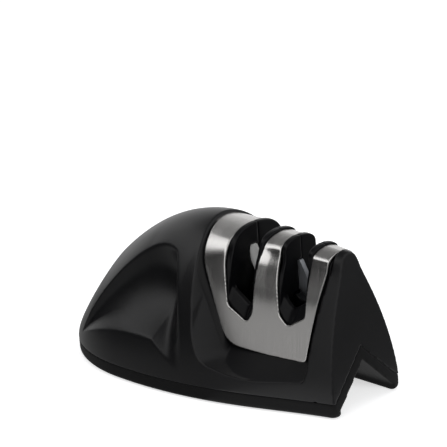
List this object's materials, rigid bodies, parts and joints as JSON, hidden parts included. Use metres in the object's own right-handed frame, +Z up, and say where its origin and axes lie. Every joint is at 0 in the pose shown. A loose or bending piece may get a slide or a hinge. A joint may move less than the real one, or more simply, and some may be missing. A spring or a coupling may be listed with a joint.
{
  "type": "knife sharpener",
  "caption": "Countertop knife sharpener with a scooped handle, a steel-clad head with two V slots, and a right-angled edge groove in its base.",
  "frame": {"origin": "centre of the bounding box's underside, on the surface the sharpener stands on", "axes": "+X from the handle's nose to the end face, +Y to the back, +Z up"},
  "size_m": [0.1032, 0.0592, 0.0453],
  "materials": {
    "black_plastic": "satin, moulded",
    "brushed_steel": "brushed across the head",
    "black_rubber": "matte",
    "ceramic": "unglazed, fine",
    "carbide": "ground",
    "zinc_steel": "zinc plated"
  },
  "bodies": {
    "root": {"housing": "black_plastic", "saddle_cover": "brushed_steel", "core_front": "black_plastic", "core_back": "black_plastic", "rod_carrier": "black_plastic", "ceramic_rod_front": "ceramic", "ceramic_rod_back": "ceramic", "blade_carrier": "black_plastic", "carbide_blade_front": "carbide", "carbide_blade_back": "carbide", "blade_set_screws": "zinc_steel", "core_tie_screws": "zinc_steel", "core_mount_screws": "zinc_steel", "base_plate": "zinc_steel", "base_screws_long": "zinc_steel", "base_screws_short": "zinc_steel", "base_pad": "black_rubber"}
  },
  "joints": []
}
